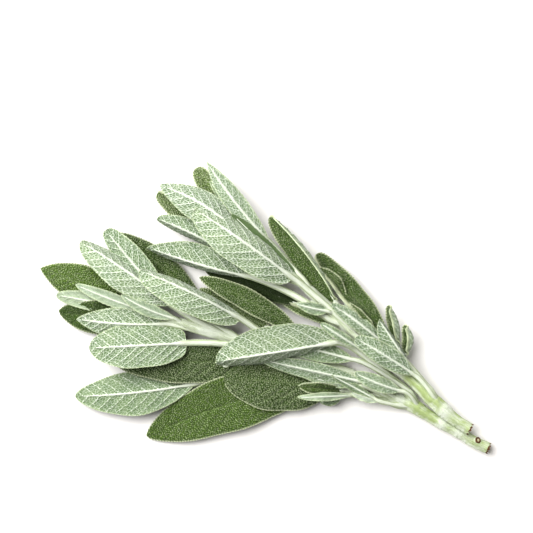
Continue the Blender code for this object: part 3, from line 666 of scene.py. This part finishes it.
def leafBlade(name, leaf, seed):
    look = bladeLook
    length = (Vector(leaf.tip) - Vector(leaf.base)).length
    side = leftOf(leaf)
    bm = bmesh.new()
    marks = bm.verts.layers.float_color.new("marks")
    veins = bm.verts.layers.float_color.new("veins")
    mood = bm.verts.layers.float_color.new("mood")
    lie = bm.loops.layers.uv.new("lie")
    rows = round(length / look["grain"])
    columns = 2 * round(leaf.width / 2 / look["grain"])
    bmesh.ops.create_grid(bm, x_segments=rows, y_segments=columns, size=1.0)
    depth = {}
    under = 1 if leaf.up == "pale" else -1    # which way along the normals the underside is
    plain = smooth(*look["plain"], leaf.mood[0]) if leaf.up == "pale" else 0.0
    netted = (0.6 + 0.4 * smooth(3.0, 12.0, leaf.width)) * (1 - 0.85 * plain)
    line = look["veinLine"][0] + look["veinLine"][1] * leaf.width
    for vert in bm.verts:
        t, v = (vert.co.x + 1) / 2, vert.co.y
        u = look["evenRows"] * t + (1 - look["evenRows"]) * (0.5 - 0.5 * math.cos(math.pi * t))
        half = halfWidth(leaf, u)
        x, y = u * length, v * half
        margin = half - abs(y)
        start, turn, gap, strength, reach = veinsAt(leaf, length, x, y)
        vein = bell(abs(turn - round(turn)) * gap, look["veinWidth"]) * strength
        quilt = (0.5 - 0.5 * math.cos(2 * math.pi * turn)) * strength
        netAcross, netAlong, net, dome, tone = netAt(leaf, start, y, seed)
        tooth = abs(math.sin(math.pi * x / look["tooth"] + (look["toothApart"] if v > 0 else 0)))
        atEdge = smooth(0.8, 1.0, abs(v)) * smooth(0.0, 2.0, half)
        point = bladePoint(leaf, u, v, half, side)
        point += side * math.copysign(look["toothDepth"] * (tooth - 0.7) * atEdge, v)
        alongWaves, acrossWaves = look["swayWaves"]
        sway = noise.noise(Vector((x * alongWaves, y * acrossWaves, seed))) * look["sway"]
        curl = look["curl"] * smooth(look["curlWidth"], 0.0, margin)
        groove = look["groove"] * bell(y, look["grooveWidth"]) * smooth(1.0, 0.7, u)
        raised = look["veinHeight"] * vein + look["netHeight"][leaf.up] * net
        raised -= look["dome"][leaf.up] * dome + look["quilt"][leaf.up] * quilt
        depth[vert.index] = under * (raised * smooth(0.0, 1.2, margin) + groove + curl) + sway
        midline = bell(y, look["midline"]) * smooth(1.0, 0.6, u) * (1 - 0.6 * plain)
        vert[marks] = (strength * (1 - 0.6 * plain), midline, rimAt(leaf, v, margin, tooth), tone)
        vert[veins] = (turn, gap / (line * (1.3 - 0.5 * reach)), netAcross, netAlong)
        vert[mood] = (*leaf.mood, netted)
        vert.co = (point - bunchCentre) * millimetre
        for loop in vert.link_loops:
            loop[lie].uv = (x, y)
    bm.normal_update()
    shift = [(vert, vert.normal * depth[vert.index] * millimetre) for vert in bm.verts]
    for vert, step in shift:
        vert.co += step
        vert.co.z = max(vert.co.z, (look["lowest"] + look["thickness"] / 2) * millimetre)
    bmesh.ops.remove_doubles(bm, verts=bm.verts, dist=weld["blade"])
    for face in bm.faces:
        face.smooth = True
    mesh = bpy.data.meshes.new(name)
    bm.to_mesh(mesh)
    bm.free()
    blade = bpy.data.objects.new(name, mesh)
    bpy.context.scene.collection.objects.link(blade)
    faces = [underSide, upperSide] if leaf.up == "pale" else [upperSide, underSide]
    for finish in (*faces, marginSkin, stalkSkin):
        mesh.materials.append(finish)
    wall = blade.modifiers.new("wall", "SOLIDIFY")
    wall.thickness = look["thickness"] * millimetre
    wall.offset = 0.0
    wall.material_offset = 1
    wall.material_offset_rim = 2
    return blade


# ---- stalks, which run on under the blades as midribs
stalkShape = {
    "step": 0.5,
    "around": 14,
    "base": 0.75,                         # radius at the blade: this and a share of the leaf's width
    "share": 0.032,
    "flare": 1.25,
    "leansAfter": 8.0,                    # length over which it takes up its lean
    "leavesStem": 0.4,                    # shares of it that keep the stem's and the midrib's heading
    "meetsBlade": 0.2,
    "ends": 0.93,                         # share of the blade that the midrib stays proud for
    "ribStart": 0.38,                     # midrib radius near the base, as a share of the stalk's
    "ribTip": 0.14,
    "sunk": 0.48,                         # how far the flat side of a midrib lies under the blade's middle
    "joinsFrom": 0.6,                     # share of a green leaf's stalk after which it sinks to the blade
    "joinsDeep": 0.85,
    "ribNarrows": 0.16,                   # share of the blade over which the stalk narrows to the midrib
    "channel": (0.16, 0.5),               # depth and width of the channel on the stalk's upper side
    "ridges": 0.03,
    "ribTop": 0.1,                        # how much flatter a midrib is than the stalk, above and below
    "ribUnder": 0.95,
    "stripe": (0.9, 0.22),                # turn and width of the green stripe down each side
    "stripeDark": 0.45,
    "stripeFresh": 0.3,
}


stalkMood = (0.5, 1.0, 0.2, 0.0)          # whiteness, painted light (1: no painted shade), yellowness, net


def wrapTube(bm, rows, around, place, slot, marks, mood, lie):
    # a closed tube: for each row and turn, place gives a point, its marks, its way along and its reach
    grid = bmesh.ops.create_grid(bm, x_segments=rows, y_segments=around, size=1.0)
    faces = {face for vert in grid["verts"] for face in vert.link_faces}
    for vert in grid["verts"]:
        row = round((vert.co.x + 1) / 2 * rows)
        turn = (vert.co.y + 1) * math.pi
        point, shade, along, reach = place(row, turn)
        for loop in vert.link_loops:
            loop[lie].uv = (along, turn * reach)
        vert[marks] = shade
        vert[mood] = stalkMood
        point.z = max(point.z, bladeLook["lowest"])
        vert.co = (point - bunchCentre) * millimetre
    for face in faces:
        face.smooth = True
        face.material_index = slot
    bmesh.ops.remove_doubles(bm, verts=grid["verts"], dist=weld["tube"])
    kept = [face for face in faces if face.is_valid]
    bmesh.ops.recalc_face_normals(bm, faces=kept)
    return kept


def stalkPath(leaf, stem):
    # points of the stalk from inside the stem to the blade, then of the midrib, with the radius at each
    look = stalkShape
    t = stemShare(stem, leaf.root)
    root, end = stemPoint(stem, t), midrib(leaf, 0.0)
    reach = (end - root).length
    out = stemHeading(stem, t) * reach * look["leavesStem"]
    into = (midrib(leaf, 0.05) - end).normalized() * reach * look["meetsBlade"]
    thin = look["base"] + look["share"] * leaf.width
    points, radii, ribs, settled = [], [], [], []
    steps = max(8, round(reach / look["step"]))
    for i in range(steps):
        f = i / steps
        lean = smooth(0.0, look["leansAfter"], f * reach) * (1 - f)
        points.append(root * (1 - f)**3 + (root + out) * 3 * f * (1 - f)**2
                      + (end - into) * 3 * f**2 * (1 - f) + end * f**3 + Vector((0, *leaf.aside)) * lean)
        radii.append(thin * (look["flare"] + (1 - look["flare"]) * f))
        ribs.append(0.0)
        settled.append(smooth(look["joinsFrom"], 1.0, f))
    length = (Vector(leaf.tip) - Vector(leaf.base)).length
    steps = round(length * look["ends"] / look["step"])
    for i in range(steps + 1):
        u = look["ends"] * i / steps
        points.append(midrib(leaf, u))
        swift = smooth(0.0, look["ribNarrows"], u)
        slow = look["ribStart"] * thin * (1 - u) + look["ribTip"] * u
        radii.append(thin * (1 - swift) + slow * swift)
        ribs.append(swift)
        settled.append(1.0)
    return points, radii, ribs, settled


def addStalk(bm, leaf, stem, marks, mood, lie):
    look = stalkShape
    points, radii, ribs, settled = stalkPath(leaf, stem)
    under = Vector((0, 0, 1 if leaf.up == "pale" else -1))
    last = len(points) - 1
    runs = [0.0]
    for i in range(last):
        runs.append(runs[-1] + (points[i + 1] - points[i]).length)

    def place(row, turn):
        i = min(max(row - 1, 0), last)
        heading = (points[min(i + 1, last)] - points[max(i - 1, 0)]).normalized()
        across = heading.cross(Vector((0, 0, 1))).normalized()
        up = across.cross(heading)
        radius = radii[i] if 0 < row < last + 2 else 0.0
        depth, width = look["channel"]
        channel = depth * bell(turn - math.pi, width)
        ridges = 1 + look["ridges"] * math.cos(6 * turn) - channel * (1 - ribs[i])
        rise = math.cos(turn)
        rise *= 1 - ribs[i] * (look["ribTop"] if rise > 0 else look["ribUnder"])
        spot = across * math.sin(turn) * radius * ridges + up * under.z * rise * radius * ridges
        sunk = look["sunk"] * ribs[i]
        if leaf.up == "green":
            sunk += settled[i] * (1 - ribs[i]) * radii[i] * look["joinsDeep"]
        centre = points[i] + up * under.z * sunk
        away = abs(math.remainder(turn, 2 * math.pi)) - look["stripe"][0]
        stripe = bell(away, look["stripe"][1]) * (1 - ribs[i])
        white = 0.35 + 0.4 * ribs[i] - 0.4 * stripe
        fresh = 0.12 * (1 - ribs[i]) + look["stripeFresh"] * stripe
        return centre + spot, (white, look["stripeDark"] * stripe, fresh, 0.5), runs[i], radii[i]

    wrapTube(bm, last + 2, look["around"], place, 3, marks, mood, lie)


def finishedMesh(obj):
    # the object's mesh with its modifiers applied
    graph = bpy.context.evaluated_depsgraph_get()
    mesh = bpy.data.meshes.new_from_object(obj.evaluated_get(graph))
    obj.modifiers.clear()
    old = obj.data
    obj.data = mesh
    bpy.data.meshes.remove(old)
    mesh.name = obj.name
    return mesh


crisp = {"leaf": math.radians(75), "stem": math.radians(60)}   # edges sharper than this stay sharp
seeds = {"sprig": 31.0, "leaf": 3.7, "first": 1.5}   # each leaf's own number, which its noise starts from


def keepPiece(piece, sprig):
    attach(piece, "root")
    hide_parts(sprig)


def growLeaf(sprig, key, leaf, seed):
    # one piece: a blade and its stalk
    blade = leafBlade("sageLeaf" + key, leaf, seed)
    mesh = finishedMesh(blade)
    bm = bmesh.new()
    bm.from_mesh(mesh)
    marks = bm.verts.layers.float_color["marks"]
    mood = bm.verts.layers.float_color["mood"]
    lie = bm.loops.layers.uv["lie"]
    addStalk(bm, leaf, stems[sprig], marks, mood, lie)
    bm.to_mesh(mesh)
    bm.free()
    mesh.set_sharp_from_angle(angle=crisp["leaf"])
    keepPiece(blade, sprig)


for sprigIndex, sprigName in enumerate(leaves):
    for leafIndex, (leafKey, leafShape) in enumerate(leaves[sprigName].items()):
        leafSeed = seeds["sprig"] * sprigIndex + seeds["leaf"] * leafIndex + seeds["first"]
        growLeaf(sprigName, leafKey, leafShape, leafSeed)
    print("leaves grown on", sprigName)


# ---- stems
stemLook = {
    "step": 0.4,
    "around": 48,
    "square": 0.05,                       # how square the section is
    "swell": 0.1,                         # how much a leaf joint stands out
    "swellLength": 3.0,
    "rough": 0.05,
    "lumps": (0.35, 1.2),                 # how fast lumps and fine ridges change along it and round it
    "ridges": (0.12, 6.0),
    "shadeTurn": 0.7,                     # turn round the stem at which it is greenest and darkest: painted shade of that side
    "greens": (0.15, 0.35, 0.45, 0.5),    # all over, in the four stripes, on the side with painted shade, in lumps
    "fresh": (0.55, 0.4, 5.0),            # green at the foot, what a leafy stretch adds, and how soon
    "stripeTurn": 1.1,
    "stripeDark": 0.25,
    # how far from the cut end the leaf joints are, the first that bears leaves, and where green fades
    "joints": {"sprig_lower": (21.6, 34.0, 66.0, 98.0, 128.0), "sprig_upper": (17.5, 47.0, 66.0, 90.0)},
    "firstJoint": {"sprig_lower": 34.0, "sprig_upper": 17.5},
    "caps": (0.0, 0.3, 0.34, 0.82, 0.9),  # rings of the cut end, as shares of the radius
    "rag": 1.2,                           # how unevenly the cut is torn
    "fades": (50.0, 75.0),
    "torn": 3.0,                          # how far from the cut the stem is uneven
    "barkWidth": (0.55, 0.9),             # of the brown bark at the cut, and how unevenly it ends
    "wood": 0.84,                         # shares of the radius that the wood and the pith take up
    "pith": 0.32,
    "scar": (0.5, 0.4),                   # width and strength of the line at the lowest joint
}
cutLook = {
    # colour, second colour, grains to a metre
    "Bark": ((0.040, 0.018, 0.008, 1), (0.17, 0.085, 0.035, 1), 1500.0),
    "Wood": ((0.52, 0.47, 0.22, 1), (0.36, 0.30, 0.10, 1), 1800.0),
    "Pith": ((0.72, 0.68, 0.48, 1), (0.5, 0.42, 0.22, 1), 2500.0),
}
stubLook = {
    # cut side shoot near the foot of the lower stem, as in the CAD model
    "place": 7.0,
    "way": Vector((0.35, 0.5, 0.8)),
    "length": 3.4,
    "radius": 1.2,
    "around": 28,
    # rings from its foot to the middle of its cut: share of its length, share of its radius
    "profile": ((0.0, 1.5), (0.35, 1.35), (0.6, 1.1), (0.8, 1.0), (0.9, 1.04), (1.0, 1.0),
                (1.02, 0.8), (0.97, 0.6), (0.95, 0.5), (0.97, 0.3), (0.97, 0.0)),
    "skinEnds": 0.82,                     # share of its length where the skin gives way to the cut
    "pith": 0.42,                         # shares of its radius that the pith and the wood take up
    "wood": 0.5,
    "rag": 0.12,
}


def cutFinish(name, colour, second, scale):
    made = Finish(name)
    grain = made.grain(scale, 4.0)
    mixed = made.mix(made.within(grain * 1.6 - 0.3), colour, second)
    return made.finished(mixed, 0.8, grain, 0.5, 0.0)


def noiseRound(turn, lengthwise, around, along):
    return noise.noise(Vector((along * lengthwise, math.cos(turn) * around, math.sin(turn) * around)))


def stemMarks(sprig, along, turn, joint, lump):
    # how white a stem is at a place on it, how dark its lines are, and how much green shows
    look = stemLook
    foot, above, joined = look["fresh"]
    first = look["firstJoint"][sprig]
    fresh = foot + above * smooth(first, first + joined, along)
    fresh *= 1 - 0.85 * smooth(*look["fades"], along)
    band = 0.5 + 0.5 * math.cos(4 * turn + look["stripeTurn"] + 1.5 * lump)
    # painted shade: one side of the stem is greener and darker
    inShade = 0.5 + 0.5 * math.cos(turn - look["shadeTurn"])
    plain, banded, shadeGreen, lumpy = look["greens"]
    fresh *= (1 - joint) * (plain + banded * band + shadeGreen * inShade + lumpy * lump)
    width, strength = look["scar"]
    scar = bell(along - look["joints"][sprig][0] + 0.6 * lump, width) * strength
    return 0.4 * joint, scar + look["stripeDark"] * band * (1 - joint), fresh, 0.5


def stemSurface(sprig):
    # gives wrapTube the place, marks and lie of each point of a stem
    look = stemLook
    stem = stems[sprig]
    points = [Vector(p) for p in stem.points]
    length = sum((points[i + 1] - points[i]).length for i in range(len(points) - 1))
    body = round(length / look["step"])
    caps = look["caps"]

    def place(row, turn):
        i = row - len(caps)
        t = min(max(i / body, 0.0), 1.0)
        along = t * length
        heading = stemHeading(stem, t)
        across = heading.cross(Vector((0, 0, 1))).normalized()
        up = across.cross(heading)
        joint = max(bell(along - spot, look["swellLength"]) for spot in look["joints"][sprig])
        radius = splineAt(stem.radii, t) * (1 + look["swell"] * joint)
        lump = noiseRound(turn, *look["lumps"], along)
        fine = noiseRound(turn, *look["ridges"], along)
        radius *= 1 + look["square"] * math.cos(4 * turn) + look["rough"] * (lump + 0.7 * fine)
        ragged = noise.noise(Vector((math.cos(turn) * 2.4, math.sin(turn) * 2.4, 4.0 + along)))
        back = look["rag"] * ragged * smooth(look["torn"], 0.0, max(i, 0))
        if i < 0:
            radius *= caps[row]
            back = 0.25 + 0.5 * look["rag"] * ragged * caps[row]
        elif row >= len(caps) + body:
            radius = 0.0
        spot = stemPoint(stem, t) + heading * back
        spot += (across * math.sin(turn) + up * math.cos(turn)) * radius
        spot.z = max(spot.z, bladeLook["lowest"])
        return spot, stemMarks(sprig, along, turn, joint, lump), along, max(radius, 0.5)

    return place, len(caps) + body


def cutSlot(spot, stem):
    # the material slot of a face of a stem: its skin, or pith, wood or bark at the cut end
    ahead = (spot - stemPoint(stem, 0.0)).dot(stemHeading(stem, 0.0))
    out = (spot - stemPoint(stem, 0.0) - stemHeading(stem, 0.0) * ahead).length / stem.radii[0]
    width, uneven = stemLook["barkWidth"]
    if ahead > width + uneven * noise.noise(spot * 0.9):
        return 0
    return 3 if out < stemLook["pith"] else 2 if out < stemLook["wood"] else 1


def addStub(bm, stem, marks, mood, lie):
    look = stubLook
    foot = stemPoint(stem, stemShare(stem, look["place"]))
    way = look["way"].normalized()
    across = way.cross(Vector((0, 0, 1))).normalized()
    up = across.cross(way)

    def place(row, turn):
        share, wide = look["profile"][min(max(row - 1, 0), len(look["profile"]) - 1)]
        radius = look["radius"] * wide if row > 0 else 0.0
        rag = noise.noise(Vector((math.cos(turn) * 2.0, math.sin(turn) * 2.0, share * 3.0)))
        spot = foot + way * look["length"] * share
        spot += (across * math.sin(turn) + up * math.cos(turn)) * radius * (1 + look["rag"] * rag)
        return spot, (0.3, 0.0, 0.5, 0.5), share * look["length"], look["radius"]

    faces = wrapTube(bm, len(look["profile"]), look["around"], place, 0, marks, mood, lie)
    for face in faces:
        spot = face.calc_center_median() / millimetre + bunchCentre - foot
        share = spot.dot(way) / look["length"]
        out = (spot - way * spot.dot(way)).length / look["radius"]
        if share > look["skinEnds"]:
            face.material_index = 3 if out < look["pith"] else 2 if out < look["wood"] else 1


def growStem(sprig):
    stem = stems[sprig]
    bm = bmesh.new()
    marks = bm.verts.layers.float_color.new("marks")
    mood = bm.verts.layers.float_color.new("mood")
    lie = bm.loops.layers.uv.new("lie")
    place, rows = stemSurface(sprig)
    faces = wrapTube(bm, rows, stemLook["around"], place, 0, marks, mood, lie)
    for face in faces:
        face.material_index = cutSlot(face.calc_center_median() / millimetre + bunchCentre, stem)
    if sprig == "sprig_lower":
        addStub(bm, stem, marks, mood, lie)
    name = "sageStemLower" if sprig == "sprig_lower" else "sageStemUpper"
    mesh = bpy.data.meshes.new(name)
    bm.to_mesh(mesh)
    bm.free()
    for finish in (stemSkin, *cutFaces):
        mesh.materials.append(finish)
    piece = bpy.data.objects.new(name, mesh)
    bpy.context.scene.collection.objects.link(piece)
    mesh.set_sharp_from_angle(angle=crisp["stem"])
    keepPiece(piece, sprig)


cutFaces = [cutFinish("sageCut" + part, *cutLook[part]) for part in cutLook]
for sprigName in stems:
    growStem(sprigName)
print("stems grown")
